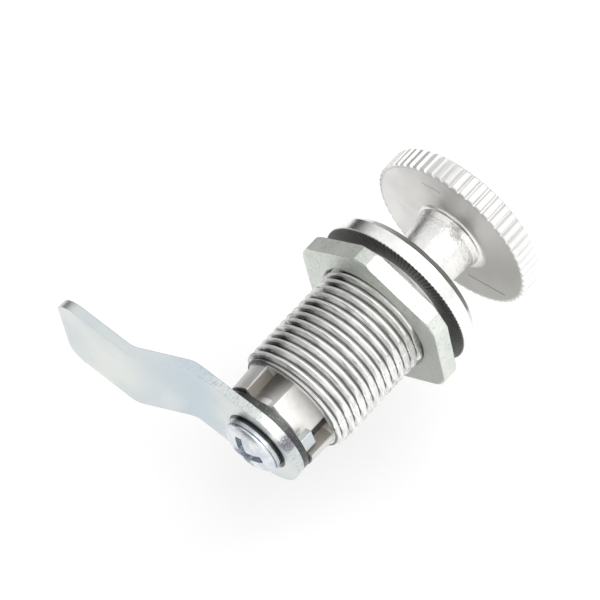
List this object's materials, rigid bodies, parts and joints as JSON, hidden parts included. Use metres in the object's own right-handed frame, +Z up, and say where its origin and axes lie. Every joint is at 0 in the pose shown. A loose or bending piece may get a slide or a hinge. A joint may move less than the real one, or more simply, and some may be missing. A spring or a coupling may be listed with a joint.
{
  "type": "cam lock",
  "caption": "Keyless quarter-turn cam lock with a knurled knob, a threaded double-D barrel with a hex nut, and a cranked cam.",
  "frame": {"origin": "on the lock axis, in the plane of the flange's rear face, which seats on the panel", "axes": "+Y along the lock axis, from the knob at the front to the cam at the rear; +X square to the barrel's two flats, on the side where the cam's arm lies at rest; +Z up"},
  "size_m": [0.0516, 0.0556, 0.0313],
  "materials": {
    "cast_zinc": "bright die-cast zinc with a polished flange",
    "satin_nickel": "satin nickel plate on die-cast zinc",
    "zinc_plate": "dull zinc plate with a grey-green cast",
    "blue_zinc": "blue-white passivated zinc plate on pressed steel",
    "screw_zinc": "bright bluish zinc plate",
    "spring_steel": "oiled spring steel",
    "bright_steel": "bright nickel-plated steel",
    "seal_rubber": "black nitrile rubber"
  },
  "bodies": {
    "body": {"lock_body": "cast_zinc", "wave_washer": "spring_steel", "thrust_washer": "bright_steel"},
    "nut": {"hex_nut": "zinc_plate"},
    "turning": {"knob": "satin_nickel", "stem_seal": "seal_rubber", "retaining_ring": "spring_steel", "spindle": "bright_steel", "drive_pin": "bright_steel", "stop_washer": "blue_zinc", "cam": "blue_zinc", "split_washer": "screw_zinc", "cam_screw": "screw_zinc"}
  },
  "joints": [
    {"name": "cam_turn", "type": "hinge", "parent": "body", "child": "turning", "pos_m": [0, 0, 0], "axis": [0, 1, 0], "range_deg": [0, 90]},
    {"name": "nut_travel", "type": "slide", "parent": "body", "child": "nut", "axis": [0, 1, 0], "range_m": [-0.002, 0.0193]}
  ]
}
